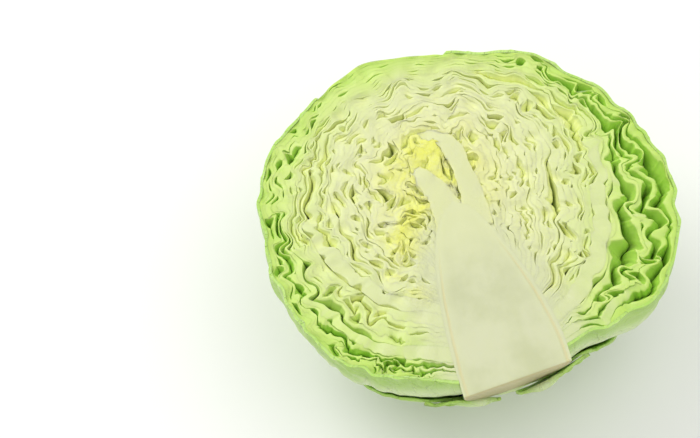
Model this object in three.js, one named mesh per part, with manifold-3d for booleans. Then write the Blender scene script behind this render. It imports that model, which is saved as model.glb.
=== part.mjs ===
// Half a head of cabbage, cut lengthwise through the stem, lying on its rounded back with the cut face up.
//
// Millimetres, +Z up. The origin is the centre of the small flat spot that the head rests on. The cut face is
// level, at z = CUT_HEIGHT. -Y is the stem end, +Y the top of the head, and X runs across the cut face.
//
// The head is described round its middle, a point on the cut face. A direction from there has a turn, the angle
// round +Z from +X, and a dip, the angle below the cut face. Every leaf of the head is a curved shell between
// two distances from the middle, on one shared grid of directions, so leaves lie one in another and never cross.
import * as THREE from "three";
import { mergeVertices } from "three/addons/utils/BufferGeometryUtils.js";
import Module from "manifold-3d";

const wasm = await Module();
wasm.setup();

// ---------------------------------------------------------------- driving dimensions

const CUT_HEIGHT = 87; // rest spot to cut face
const LEAN = { x: 0.04, y: -0.13 }; // the lowest point lies this much of a distance beside the middle
const MIDDLE = { x: -LEAN.x * CUT_HEIGHT, y: -LEAN.y * CUT_HEIGHT };
const GAP = 0.5; // clearance between a leaf's foot and the core it grows from

// Key rings of the cut face: leaf layers as distances from the middle at these turns, and their depth at the back.
const RING_TURNS = [-90, -65, -45, -20, 0, 20, 45, 90, 135, 160, 180, 200, 225, 245, 270];
const KEY_RINGS = [
  { radii: [30, 28, 18, 14.5, 14.5, 16, 22, 32, 24, 18, 16, 15, 18, 26, 30], depth: 16 },
  { radii: [42, 40, 30, 25, 24.5, 28, 36, 43, 41, 35, 31, 29.5, 29, 34, 42], depth: 28 },
  { radii: [55, 52, 42, 35.5, 35.5, 41, 49, 52, 50, 45, 42, 40, 38, 41, 55], depth: 39 },
  { radii: [60, 58, 51.5, 47.5, 48, 52, 57, 59, 58, 55, 53, 51, 48, 47.5, 60], depth: 49 },
  { radii: [67, 64, 62, 58, 59, 63.5, 65, 65, 67, 67.5, 66.5, 62.5, 58.5, 55, 67], depth: 59 },
  { radii: [75, 75, 75, 72, 73, 77.5, 75, 70.5, 73, 75, 76, 76, 76.5, 71, 75], depth: 71 },
  { radii: [82, 88, 98.5, 100, 97.5, 92.5, 83, 74.5, 81.5, 84, 87, 88, 90.5, 88.5, 82], depth: 83.2 },
];
const OUTSIDE = KEY_RINGS.length - 1;

// The leaf grid: stretches of turns, each with its step. The steps are finer where the leaves are waved.
const GRID_STRETCHES = [
  { to: -82, step: 4 },
  { to: -46, step: 9 },
  { to: 47, step: 3.1 },
  { to: 156, step: 6.75 },
  { to: 228, step: 4 },
  { to: 262, step: 7 },
  { to: 270, step: 4 },
];
const DIPS = [0, 8, 28, 60]; // rows of an inner leaf, from the cut face to the back
const OUTER_DIPS = [0, 8, 28, 44, 60, 76]; // rows of a leaf that shows on the outside

// Leaves of the head from the inside out, sharing out the space from one key ring to the next. A rib is the
// thick foot of a leaf that the cut passes lengthwise, on the right or left of the core, in mm.
const LEAF_BLADE = 3.2;
const LEAF_SPACE = 1.2;
const LEVELS = [
  { ring: 1 },
  { ring: 1, rightRib: 2 },
  { ring: 2 },
  { ring: 2, rightRib: 2 },
  { ring: 3 },
  { ring: 3, leftRib: 7 },
  { ring: 4 },
  { ring: 4, rightRib: 9 },
  { ring: 5, leftRib: 10 },
  { ring: 5 },
  { ring: 5, rightRib: 3, shows: true },
];
const RIB_TURNS = { right: -68, left: 248 };
const RIB_SPREAD = 34; // degrees over which a rib thins out into the blade
const SPLIT_TURN = 90; // the left and right leaves of a level meet near the top,
const SPLIT_SWING = [36, -36]; // the left one reaching over, or the right one, by turns

// The core's half widths left and right of the stem's middle, at distances up from the stem's end.
const STEM_END_Y = -90;
const STEM_END_SLANT = 0.06; // the knife took the stem off a little out of square,
const STEM_END_TILT = 0.2; // and its lower edge stands back
const CORE_OUTLINE = [
  { up: 0, left: 24.3, right: 26.5 },
  { up: 14, left: 24, right: 27 },
  { up: 32, left: 22.5, right: 25 },
  { up: 52, left: 19.5, right: 20.5 },
  { up: 67, left: 16, right: 15.5 },
  { up: 80, left: 10.5, right: 10 },
  { up: 87, left: 5, right: 5.5 },
];
const CORE_TIP_UP = 91;
const CORE_DEPTH = 0.95; // depth of the core's half section, as a share of its half width
const CORE_STEPS = 14;

// Small crumpled leaves round the tip of the core: shares of the space inside a ring, and how much they wave.
const HEART_LEAVES = [
  { ring: 0, from: 0.42, to: 0.6, wave: 1.0, phase: 0.4 },
  { ring: 0, from: 0.82, to: 1.0, wave: 1.2, phase: 2.1 },
  { ring: 1, from: 0.4, to: 0.7, wave: 0.8, phase: 5.0 },
];
const HEART_DIPS = [0, 30];
const HEART_FLOOR = 9; // the dense middle of the heart lies this far below the cut face
const HEART_RIB = [
  { x: 1, y: -4, half: 3.4, deep: 16 },
  { x: 7, y: 10, half: 2.6, deep: 16 },
  { x: 11, y: 22, half: 2.0, deep: 14 },
  { x: 7, y: 33, half: 1.2, deep: 8 },
];

// Wrapper leaves round the outside. A midrib runs from the stem over the back to the top. Azimuth says where it
// passes: 0 at the right rim, 90 at the back, 180 at the left rim. Layer counts the wrapper leaves underneath.
const WRAPPERS = [
  { name: "wrapper_leaf_right", layer: 0, azimuth: 22, end: 166, half: 64, wave: 0.5 },
  { name: "wrapper_leaf_left", layer: 0, azimuth: 160, end: 150, half: 60, wave: 0.8 },
  { name: "wrapper_leaf_back", layer: 1, azimuth: 93, end: 128, half: 52, wave: 0.9 },
  { name: "wrapper_leaf_stub_left", layer: 2, azimuth: 128, end: 34, half: 14, wave: 0.6 },
  { name: "wrapper_leaf_stub_right", layer: 2, azimuth: 54, end: 32, half: 14, wave: 0.6 },
];
const WRAPPER_START = 15.2; // degrees from the stem's middle line to a wrapper's foot
const WRAPPER_BLADE = 0.9;
const WRAPPER_CLEAR = 1.25; // free space between the head and the first wrapper
const LAYER_RISE = 3.0; // from one layer of wrappers to the next
const RIB_STANDS = 2.6; // how far a midrib stands out at its foot
const VEIN_STANDS = 0.7;
const VEIN_PITCH = 14.5; // degrees along the midrib from one side vein to the next
const VEIN_SLANT = 0.55; // degrees that a side vein runs forward for each degree out from the midrib
const END_ROUNDING = 13; // degrees that the corners of a leaf's far end fall back
const SIDE_STEPS = [0.035, 0.1, 0.22, 0.36, 0.5, 0.66, 0.83, 1]; // columns out from the midrib, as shares
const REST_BLADE = 0.9; // leaf left over the flat rest spot

const COLOURS = { core: 0xe2dfba, heart: 0xe6e88f, inner: 0xe4ebb4, outer: 0xbfdc86, wrapper: 0x9cc766 };

// ---------------------------------------------------------------- the shape of the head

const { degToRad: radians, radToDeg: degrees, lerp, clamp, smoothstep: smooth } = THREE.MathUtils;
const bump = (x, centre, width) => Math.exp(-(((x - centre) / width) ** 2));

// A smooth curve through the points (xs, ys), at x.
function curveThrough(xs, ys, x) {
  const last = xs.length - 1;
  let i = 0;
  while (i < last - 1 && x > xs[i + 1]) i += 1;
  const slope = (k) => {
    const a = Math.max(k - 1, 0);
    const b = Math.min(k + 1, last);
    return (ys[b] - ys[a]) / (xs[b] - xs[a]);
  };
  const h = xs[i + 1] - xs[i];
  const t = clamp((x - xs[i]) / h, 0, 1);
  const fromValues = (2 * t ** 3 - 3 * t ** 2 + 1) * ys[i] + (3 * t ** 2 - 2 * t ** 3) * ys[i + 1];
  const fromSlopes = (t ** 3 - 2 * t ** 2 + t) * slope(i) + (t ** 3 - t ** 2) * slope(i + 1);
  return fromValues + h * fromSlopes;
}

function ringDistance(ring, turn, dip) {
  const { radii, depth } = KEY_RINGS[ring];
  return lerp(curveThrough(RING_TURNS, radii, turn), depth, Math.sin(radians(dip)) ** 2);
}

function distanceBetween(ring, share, turn, dip) {
  return lerp(ringDistance(ring, turn, dip), ringDistance(ring + 1, turn, dip), share);
}

// The waves that the crowded leaves are pressed into. They fade with depth and towards the smooth outside.
function waved(distance, turn, dip) {
  const share = distance / ringDistance(OUTSIDE, turn, dip);
  const fade = (1 - smooth(dip, 4, 40)) * (1 - 0.85 * smooth(share, 0.93, 1));
  const arc = radians(turn);
  const right = bump(turn, -6, 36) * smooth(share, 0.7, 0.86);
  const left = bump(turn, 190, 42) * smooth(share, 0.6, 0.74);
  const everywhere = smooth(share, 0.1, 0.3);
  const swell =
    2.6 * right * Math.sin(24 * arc + 0.12 * distance + 0.8 * Math.sin(9 * arc)) +
    1.4 * left * Math.sin(20 * arc + 0.15 * distance) +
    0.8 * everywhere * Math.sin(13 * arc + 0.3 * distance + 1);
  return distance + fade * swell;
}

function pointAt(distance, turn, dip) {
  const level = Math.cos(radians(dip));
  const down = Math.sin(radians(dip));
  return new THREE.Vector3(
    MIDDLE.x + distance * (level * Math.cos(radians(turn)) + LEAN.x * down ** 2),
    MIDDLE.y + distance * (level * Math.sin(radians(turn)) + LEAN.y * down ** 2),
    CUT_HEIGHT - distance * down,
  );
}

// ---------------------------------------------------------------- solids from meshes

// A closed shell from a triangulated patch: its outer points, its inner points, and a rim that joins them.
function shellGeometry(outer, inner, triangles) {
  const n = outer.length;
  const index = [];
  const edges = new Map();
  for (const [a, b, c] of triangles) {
    index.push(a, b, c, n + a, n + c, n + b);
    for (const [p, q] of [[a, b], [b, c], [c, a]]) {
      if (!edges.delete(q + "," + p)) edges.set(p + "," + q, [p, q]);
    }
  }
  for (const [p, q] of edges.values()) index.push(q, p, n + p, q, n + p, n + q);
  return meshFrom([...outer, ...inner], index);
}

function meshFrom(points, index) {
  const geometry = new THREE.BufferGeometry().setFromPoints(points);
  geometry.setIndex(index);
  return geometry;
}

function toSolid(geometry) {
  const merged = mergeVertices(geometry, 1e-4);
  const triVerts = new Uint32Array(merged.index.array);
  const vertProperties = new Float32Array(merged.attributes.position.array);
  const solid = new wasm.Manifold(new wasm.Mesh({ numProp: 3, vertProperties, triVerts }));
  if (solid.volume() > 0) return solid;
  const turned = triVerts.map((v, i) => triVerts[i + [0, 1, -1][i % 3]]);
  return new wasm.Manifold(new wasm.Mesh({ numProp: 3, vertProperties, triVerts: turned }));
}

function toGeometry(solid) {
  const { vertProperties, triVerts } = solid.getMesh();
  const geometry = new THREE.BufferGeometry();
  geometry.setAttribute("position", new THREE.BufferAttribute(vertProperties, 3));
  geometry.setIndex(new THREE.BufferAttribute(triVerts, 1));
  return geometry;
}

// The largest body of a solid, without the scraps and slivers that a cut leaves.
function mainBody(solid) {
  const whole = solid.decompose().reduce((best, body) => (body.volume() > best.volume() ? body : best));
  return whole.simplify(0.02);
}

// Two triangles for each cell between two rows of points with the same number of columns.
function bandTriangles(top, low, cells) {
  const triangles = [];
  for (let c = 0; c < cells; c += 1) {
    triangles.push([top + c, low + c, top + c + 1], [top + c + 1, low + c, low + c + 1]);
  }
  return triangles;
}

// ---------------------------------------------------------------- the stem core

// The core is a half cone with a pointed tip. Grown by the leaf gap, it is what leaf feet are cut back by.
function coreSolid(grow) {
  const rings = CORE_OUTLINE.map(({ up, left, right }) => {
    const middle = (right - left) / 2;
    const half = (right + left) / 2 + grow;
    return Array.from({ length: CORE_STEPS + 1 }, (_, k) => {
      const a = (Math.PI * k) / CORE_STEPS;
      const x = middle + half * Math.cos(a);
      const down = half * CORE_DEPTH * Math.sin(a);
      const y = MIDDLE.y + STEM_END_Y + (up || STEM_END_SLANT * x + STEM_END_TILT * down - 20 * grow);
      const z = CUT_HEIGHT - down + (k % CORE_STEPS ? 0 : grow);
      return new THREE.Vector3(MIDDLE.x + x, y, z);
    });
  });
  const wide = CORE_STEPS + 1;
  const index = [];
  for (let r = 0; r + 1 < rings.length; r += 1) {
    for (let k = 0; k < wide; k += 1) {
      const a = r * wide + k;
      const b = r * wide + ((k + 1) % wide);
      index.push(a, b, a + wide, b, b + wide, a + wide);
    }
  }
  const tip = rings.length * wide;
  const tipPoint = new THREE.Vector3(MIDDLE.x, MIDDLE.y + STEM_END_Y + CORE_TIP_UP + 3 * grow, CUT_HEIGHT + grow);
  for (let k = 0; k < wide; k += 1) index.push(tip - wide + k, tip - wide + ((k + 1) % wide), tip);
  for (let k = 1; k + 1 < wide; k += 1) index.push(0, k + 1, k);
  return toSolid(meshFrom([...rings.flat(), tipPoint], index));
}

// ---------------------------------------------------------------- the leaves of the head

const GRID_TURNS = [-90];
for (const { to, step } of GRID_STRETCHES) {
  while (GRID_TURNS.at(-1) < to) GRID_TURNS.push(Math.min(to, GRID_TURNS.at(-1) + step));
}
if (GRID_TURNS.length % 2 === 0) GRID_TURNS.splice(8, 1);

// The patch of the grid from column first to column last, both even, with every second column.
function coarsePatch(first, last, dips) {
  const columns = GRID_TURNS.slice(first, last + 1).filter((_, c) => c % 2 === 0);
  const places = dips.flatMap((dip) => columns.map((turn) => ({ turn, dip })));
  const wide = columns.length;
  const triangles = dips.slice(1).flatMap((_, row) => bandTriangles(row * wide, (row + 1) * wide, wide - 1));
  return { places, triangles };
}

// The same, but the first two rows have every column.
function gridPatch(first, last, dips) {
  const places = [];
  const starts = [];
  dips.forEach((dip, row) => {
    starts.push(places.length);
    for (let c = first; c <= last; c += row < 2 ? 1 : 2) places.push({ turn: GRID_TURNS[c], dip });
  });
  const columns = last - first;
  const triangles = bandTriangles(starts[0], starts[1], columns);
  for (let c = 0; c < columns / 2; c += 1) {
    const a = starts[1] + 2 * c;
    const b = starts[2] + c;
    triangles.push([a, b, a + 1], [a + 1, b, b + 1], [a + 1, b + 1, a + 2]);
  }
  for (let row = 2; row + 1 < dips.length; row += 1) {
    triangles.push(...bandTriangles(starts[row], starts[row + 1], columns / 2));
  }
  return { places, triangles };
}

// The even grid column nearest to a turn.
function columnAt(turn) {
  const c = GRID_TURNS.findIndex((t) => t >= turn);
  return c + (c % 2);
}

// The shares of its ring's space between which a leaf lies, at a turn and a dip.
function leafShares(level, turn, dip) {
  const near = (side) => bump(Math.abs(turn - RIB_TURNS[side]), 0, RIB_SPREAD) * (1 - smooth(dip, 20, 50));
  let below = LEAF_SPACE / 2;
  let filled = LEAF_SPACE / 2;
  let from = 0;
  let to = 0;
  for (const other of LEVELS.filter(({ ring }) => ring === level.ring)) {
    below = filled;
    filled += LEAF_BLADE + (other.rightRib ?? 0) * near("right") + (other.leftRib ?? 0) * near("left");
    if (other === level) [from, to] = [below, filled];
    filled += LEAF_SPACE;
  }
  const whole = filled - LEAF_SPACE / 2;
  return { from: from / whole, to: to / whole };
}

function headLeaf(level, order, side, coreCut) {
  const right = side === "right";
  const split = columnAt(SPLIT_TURN + SPLIT_SWING[order % 2] + 12 * Math.sin(2.3 * order));
  const [first, last] = right ? [2, split] : [split + 2, GRID_TURNS.length - 3];
  const { places, triangles } = gridPatch(first, last, level.shows ? OUTER_DIPS : DIPS);
  const tip = GRID_TURNS[right ? last : first];
  const face = (outer) =>
    places.map(({ turn, dip }) => {
      const { from, to } = leafShares(level, turn, dip);
      const thin = lerp(0.4, 0, smooth(Math.abs(turn - tip), 0, 16)) * (to - from);
      const share = outer ? to - thin / 2 : from + thin / 2;
      return pointAt(waved(distanceBetween(level.ring, share, turn, dip), turn, dip), turn, dip);
    });
  return mainBody(toSolid(shellGeometry(face(true), face(false), triangles)).subtract(coreCut));
}

// ---------------------------------------------------------------- the heart

// The smallest leaves stand crumpled round the tip of the core, grown together with a dense middle below them.
function heart(coreCut) {
  const first = columnAt(-62);
  const last = columnAt(242);
  const shareOf = (ring, share, turn, dip) =>
    ring === 0 ? ringDistance(0, turn, dip) * share : distanceBetween(0, share, turn, dip);
  const leaves = HEART_LEAVES.map(({ ring, from, to, wave, phase }) => {
    const { places, triangles } = coarsePatch(first, last, HEART_DIPS);
    const face = (share) =>
      places.map(({ turn, dip }) => {
        const crumple = wave * Math.sin(radians(turn) * 11 + phase) * (1 - smooth(dip, 0, 30));
        return pointAt(shareOf(ring, share, turn, dip) + crumple, turn, dip);
      });
    return toSolid(shellGeometry(face(to), face(from), triangles));
  });
  const rows = [28, 50, 72];
  const turns = GRID_TURNS.filter((_, c) => c % 4 === 0).slice(0, -1);
  const wide = turns.length;
  const bowl = rows.flatMap((dip) => turns.map((turn) => pointAt(distanceBetween(0, 0.85, turn, dip), turn, dip)));
  bowl.push(new THREE.Vector3(MIDDLE.x, MIDDLE.y, CUT_HEIGHT - HEART_FLOOR), pointAt(26.5, 0, 90));
  const index = [];
  for (let c = 0; c < wide; c += 1) {
    const next = (c + 1) % wide;
    index.push(c, next, 3 * wide, 2 * wide + next, 2 * wide + c, 3 * wide + 1);
    for (const row of [0, wide]) {
      index.push(row + c, row + wide + c, row + next, row + next, row + wide + c, row + wide + next);
    }
  }
  const middle = toSolid(meshFrom(bowl, index));
  const ribOuter = [];
  const ribInner = [];
  for (const { x, y, half, deep } of HEART_RIB) {
    for (const down of [0, deep]) {
      ribOuter.push(new THREE.Vector3(MIDDLE.x + x + half, MIDDLE.y + y - half / 2, CUT_HEIGHT - down));
      ribInner.push(new THREE.Vector3(MIDDLE.x + x - half, MIDDLE.y + y + half / 2, CUT_HEIGHT - down));
    }
  }
  const ribTriangles = [0, 2, 4].flatMap((k) => [[k, k + 1, k + 2], [k + 2, k + 1, k + 3]]);
  const rib = toSolid(shellGeometry(ribOuter, ribInner, ribTriangles));
  return mainBody(wasm.Manifold.union([middle, rib, ...leaves]).subtract(coreCut));
}

// ---------------------------------------------------------------- the wrapper leaves

// A direction on a wrapper: along is the angle from the stem over the midrib, out the angle sideways from it.
function wrapperPlace(azimuth, along, out) {
  const a = radians(azimuth);
  const s = radians(along);
  const t = radians(out);
  const x = Math.cos(t) * Math.sin(s) * Math.cos(a) - Math.sin(t) * Math.sin(a);
  const y = -Math.cos(t) * Math.cos(s);
  const down = Math.cos(t) * Math.sin(s) * Math.sin(a) + Math.sin(t) * Math.cos(a);
  const turn = degrees(Math.atan2(y, x));
  return { turn: turn < -90 ? turn + 360 : turn, dip: degrees(Math.asin(clamp(down, -1, 1))) };
}

// The reverse: where a direction lies along a wrapper's midrib and out from it.
function acrossWrapper({ azimuth }, turn, dip) {
  const x = Math.cos(radians(dip)) * Math.cos(radians(turn));
  const y = Math.cos(radians(dip)) * Math.sin(radians(turn));
  const down = Math.sin(radians(dip));
  const a = radians(azimuth);
  const along = degrees(Math.atan2(down * Math.sin(a) + x * Math.cos(a), -y));
  return { along: along < -90 ? along + 360 : along, out: degrees(Math.asin(down * Math.cos(a) - x * Math.sin(a))) };
}

// How far a wrapper's midrib lifts what lies over it.
function ribUnder(wrapper, turn, dip) {
  const { along, out } = acrossWrapper(wrapper, turn, dip);
  return along < 0 ? 0 : RIB_STANDS * ribFade(along, wrapper.end) * bump(out, 0, 9);
}

// Whether another wrapper lies over a direction.
function isCovered(wrapper, turn, dip) {
  return WRAPPERS.some((other) => {
    if (other.layer <= wrapper.layer) return false;
    const { along, out } = acrossWrapper(other, turn, dip);
    const share = (along - WRAPPER_START) / (other.end - WRAPPER_START);
    return share < 1.08 && Math.abs(out) < halfWidthAt(other, clamp(share, 0, 1)) + 7;
  });
}

const halfWidthAt = (wrapper, share) => wrapper.half * Math.sin(Math.PI * (0.14 + 0.72 * share ** 0.8)) ** 0.8;

const ribFade = (along, end) => 1 - 0.9 * smooth(along, WRAPPER_START, Math.min(end, 150));

function wrapperLeaf(wrapper, coreCut) {
  const { azimuth, end, half, layer, wave } = wrapper;
  const under = WRAPPERS.filter((other) => other.layer < layer);
  const rows = Math.round((2 * (end - WRAPPER_START)) / VEIN_PITCH);
  const outs = [...SIDE_STEPS.toReversed().map((s) => -s), 0, ...SIDE_STEPS];
  const base = WRAPPER_CLEAR + layer * LAYER_RISE;
  const places = [];
  for (let row = 0; row <= rows; row += 1) {
    const share = row / rows;
    for (const out of outs) {
      const side = halfWidthAt(wrapper, share) * out * (1 + 0.05 * Math.sin(5 * share * Math.PI + 2 * Math.sign(out)));
      const slant = VEIN_SLANT * Math.abs(side) * smooth(share, 0, 0.2) * (1 - share);
      const rounded = END_ROUNDING * out ** 2 * share ** 3 * (1 + 0.3 * Math.sin(7 * out + azimuth));
      const place = wrapperPlace(azimuth, lerp(WRAPPER_START, end, share) + slant - rounded, side);
      const bare = isCovered(wrapper, place.turn, place.dip) ? 0 : 1;
      places.push({ ...place, share, out, bare, vein: row % 2 === 1 && row < rows - 1 });
    }
  }
  const face = (outer) =>
    places.map(({ turn, dip, share, out, bare, vein }) => {
      const away = Math.abs(out);
      const ruffle = bare * wave * smooth(away, 0.6, 1) * (1 + Math.sin(17 * share + 4 * out + 9 * share * share));
      const covered = under.reduce((sum, other) => sum + ribUnder(other, turn, dip), 0);
      const ribWidth = away < 0.02 ? 1 : away < 0.06 ? 0.75 : 0;
      const rib = RIB_STANDS * ribFade(lerp(WRAPPER_START, end, share), end) * ribWidth;
      const veinHere = vein && away > 0.02 ? bare * VEIN_STANDS * (1 - 0.6 * away) : 0;
      const distance = ringDistance(OUTSIDE, turn, dip) + base + covered + ruffle;
      const p = pointAt(distance + (outer ? WRAPPER_BLADE + rib + veinHere : 0), turn, dip);
      p.z = Math.max(p.z, outer ? 0 : REST_BLADE);
      return p;
    });
  const triangles = [];
  const wide = outs.length;
  for (let row = 0; row < rows; row += 1) {
    for (const [a, b, c] of bandTriangles(row * wide, (row + 1) * wide, wide - 1)) triangles.push([a, b, c]);
  }
  const shell = toSolid(shellGeometry(face(true), face(false), triangles));
  return mainBody(shell.subtract(coreCut).trimByPlane([0, 0, -1], -CUT_HEIGHT));
}

// ---------------------------------------------------------------- the part

const cabbage = new THREE.Group();

function add(name, solid, colour) {
  const material = new THREE.MeshStandardMaterial({ color: colour, roughness: 0.45, metalness: 0 });
  const mesh = new THREE.Mesh(toGeometry(solid), material);
  mesh.name = name;
  cabbage.add(mesh);
}

const core = coreSolid(0);
const coreCut = coreSolid(GAP);
add("stem_core", core, COLOURS.core);
add("heart_leaves", heart(coreCut), COLOURS.heart);
LEVELS.forEach((level, order) => {
  const colour = new THREE.Color(COLOURS.inner).lerp(new THREE.Color(COLOURS.outer), order / LEVELS.length);
  for (const side of ["right", "left"]) {
    const name = "head_leaf_" + side + "_" + String(order + 1).padStart(2, "0");
    add(name, headLeaf(level, order, side, coreCut), colour);
  }
});
for (const wrapper of WRAPPERS) add(wrapper.name, wrapperLeaf(wrapper, coreCut), COLOURS.wrapper);

export default cabbage;
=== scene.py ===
# %% [markdown]
# # Half a head of cabbage
# A cabbage is a stem with leaves folded round it. Cut lengthwise, each leaf shows as a thin edge that runs
# round the core. The solids of the leaves could be bent and given a texture, but folds this tight need
# meshes of their own. So every solid is replaced by a finer leaf in the same place: folded, crumpled and
# pressed against its neighbours. Lengths are in millimetres until a mesh is made.

# %% Start from the packed solids
import math
from collections import namedtuple

import bmesh
import bpy
import numpy as np
from mathutils import Matrix, Vector


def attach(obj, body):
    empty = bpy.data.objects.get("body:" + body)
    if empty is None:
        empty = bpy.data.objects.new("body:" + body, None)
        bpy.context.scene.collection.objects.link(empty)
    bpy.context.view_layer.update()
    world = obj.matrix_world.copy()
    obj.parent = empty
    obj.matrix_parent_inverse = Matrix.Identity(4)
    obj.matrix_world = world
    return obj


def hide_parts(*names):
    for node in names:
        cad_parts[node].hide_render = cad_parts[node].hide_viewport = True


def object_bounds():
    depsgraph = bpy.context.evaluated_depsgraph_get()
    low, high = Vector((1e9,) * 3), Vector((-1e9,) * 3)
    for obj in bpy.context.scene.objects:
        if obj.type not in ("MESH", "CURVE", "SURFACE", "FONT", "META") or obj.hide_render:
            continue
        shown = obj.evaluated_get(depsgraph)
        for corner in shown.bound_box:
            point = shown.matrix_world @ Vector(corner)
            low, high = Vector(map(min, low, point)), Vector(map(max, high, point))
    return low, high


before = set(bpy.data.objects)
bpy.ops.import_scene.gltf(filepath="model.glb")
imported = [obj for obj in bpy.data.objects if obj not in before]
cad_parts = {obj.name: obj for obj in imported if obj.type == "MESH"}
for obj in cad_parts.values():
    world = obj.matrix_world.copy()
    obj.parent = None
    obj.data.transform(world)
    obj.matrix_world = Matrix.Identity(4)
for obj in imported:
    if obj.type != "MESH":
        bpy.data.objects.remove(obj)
cad_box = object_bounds()
MM = 0.001
# The half lies on its back, so the cut face is the top of the solids.
CUT = round(cad_box[1][2] / MM, 1)
print("solids:", len(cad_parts), "box:", [[round(c, 4) for c in corner] for corner in cad_box])
print("height of the cut face:", CUT)

# %% [markdown]
# ## Smooth steps, bumps and curves
# Nothing on a leaf starts or stops at a sharp line, so every effect fades in and out. Three small functions
# do all the fading here: a step with round ends, a bump like a bell, and a curve through a few points. They
# take whole arrays, so that one call serves every point of a leaf.

# %% Fading helpers


def smooth(x, low, high):
    t = np.clip((x - low) / (high - low), 0, 1)
    return t * t * (3 - 2 * t)


def bump(x, centre, width):
    return np.exp(-(((x - centre) / width) ** 2))


def curve_through(xs, ys, x):
    """A smooth curve through the points (xs, ys)."""
    slopes = np.gradient(ys, xs)
    ends = slice(None, None, len(xs) - 1)
    slopes[ends] = (np.diff(ys) / np.diff(xs))[[0, -1]]
    i = np.clip(np.searchsorted(xs, x) - 1, 0, len(xs) - 2)
    h = xs[i + 1] - xs[i]
    t = np.clip((x - xs[i]) / h, 0, 1)
    values = (2 * t**3 - 3 * t**2 + 1) * ys[i] + (3 * t**2 - 2 * t**3) * ys[i + 1]
    return values + h * ((t**3 - 2 * t**2 + t) * slopes[i] + (t**3 - t**2) * slopes[i + 1])


print("a step and a bump, halfway:", smooth(0.5, 0, 1), round(float(bump(0.5, 0, 1)), 3))

# %% [markdown]
# ## The plan of the cut face
# Everything is measured from the middle of the head, a point on the cut face. A turn is the angle round it,
# with the stem at -90 and 270 degrees. Leaves could be drawn one by one, but then they would cross. So key
# rings say how far out certain leaf layers lie at each turn, and how deep they reach at the back, and all
# the leaves are stacked between these rings. The head leans a little: its back isn't straight below its
# middle.

# %% Key rings
LEAN = np.array([0.04, -0.13])
MIDDLE = -LEAN * CUT
RING_TURNS = np.array([-90, -65, -45, -20, 0, 20, 45, 90, 135, 160, 180, 200, 225, 245, 270.0])
RINGS = np.array([
    [30, 28, 18, 14.5, 14.5, 16, 22, 32, 24, 18, 16, 15, 18, 26, 30],
    [42, 40, 30, 25, 24.5, 28, 36, 43, 41, 35, 31, 29.5, 29, 34, 42],
    [55, 52, 42, 35.5, 35.5, 41, 49, 52, 50, 45, 42, 40, 38, 41, 55],
    [60, 58, 51.5, 47.5, 48, 52, 57, 59, 58, 55, 53, 51, 48, 47.5, 60],
    [67, 64, 62, 58, 59, 63.5, 65, 65, 67, 67.5, 66.5, 62.5, 58.5, 55, 67],
    [75, 75, 75, 72, 73, 77.5, 75, 70.5, 73, 75, 76, 76, 76.5, 71, 75],
    [82, 88, 98.5, 100, 97.5, 92.5, 83, 74.5, 81.5, 84, 87, 88, 90.5, 88.5, 82]])
RING_DEPTHS = np.array([16, 28, 39, 49, 59, 71, 83.2])
OUTSIDE = len(RINGS) - 1


def ring_radius(ring, turn):
    return curve_through(RING_TURNS, RINGS[ring], turn)


def depth_at(radius, radii):
    """How deep the shell reaches that lies at a radius in the cut face. radii holds the key rings there."""
    depth = RING_DEPTHS[0] * np.clip(radius / radii[0], 0, 1)
    for k in range(OUTSIDE):
        share = np.clip((radius - radii[k]) / (radii[k + 1] - radii[k]), 0, 1)
        depth = depth + (RING_DEPTHS[k + 1] - RING_DEPTHS[k]) * share
    return depth + np.clip(radius - radii[OUTSIDE], 0, None)


print("ring radii at the right:", [float(round(ring_radius(k, 0.0), 1)) for k in range(len(RINGS))])

# %% [markdown]
# ## Folds that never cross
# Crowded leaves fold into each other, yet no leaf passes through the next. Random offsets would tear them
# through one another. A shear doesn't: every point slides sideways by a wave that depends only on its place
# across the slide, so neighbours stay neighbours however strong the wave is. Several shears in random
# directions, one after another, give folds that look grown. A ripple is the same idea along a line, for
# thickness and gaps.

# %% Ripples and shears


class Ripple:
    """A smooth random line: a few sines of seeded wavelengths."""

    def __init__(self, seed, longest, shortest, terms=6):
        draw = np.random.default_rng(seed)
        self.waves = 2 * np.pi / np.exp(draw.uniform(np.log(shortest), np.log(longest), terms))
        self.phases = draw.uniform(0, 2 * np.pi, terms)

    def __call__(self, x):
        x = np.asarray(x)[..., None]
        return np.sin(x * self.waves + self.phases).sum(-1) / math.sqrt(len(self.waves) / 2)


def draw_shears(seed, count, longest, shortest, strength):
    """Directions, wave numbers, slides and phases of seeded shears. Strength is a share of the wavelength."""
    draw = np.random.default_rng(seed)
    turns = (np.arange(count) * 2.4 + draw.uniform(0, 6.28)) % np.pi
    lengths = np.exp(draw.uniform(np.log(shortest), np.log(longest), count))
    return [(a, 2 * np.pi / w, strength * w, draw.uniform(0, 6.28)) for a, w in zip(turns, lengths)]


SHEARS = {
    "everywhere": draw_shears(3, 7, 36, 14, 0.045),
    "fine": draw_shears(23, 4, 12, 9, 0.035),
    "right": draw_shears(14, 3, 19, 12, 0.13),
    "left": draw_shears(41, 4, 14, 8, 0.105),
    "heart": draw_shears(8, 5, 18, 9, 0.075),
    "frill": draw_shears(52, 5, 5.5, 4, 0.11),
}
print("shears:", {kind: len(shears) for kind, shears in SHEARS.items()})

# %% [markdown]
# ## Where the leaves crumple, and how much
# On a real head the green outer leaves fold most at the sides, the top is pressed flat, and thick ribs stay
# straight. One strength for all would lose that, so each kind of shear has a weight that depends on the
# place. All of them fade with depth, as the folds seen in a cut run out a few centimetres below it.

# %% Weights of the shears
# Key rings outwards, first turn, last turn.
RIBS_KEPT_SMOOTH = [(4.7, -78, -8), (5.05, 215, 264), (3.85, 185, 264)]
FOLDS_START, FOLDS_END = 5, 48


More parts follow.
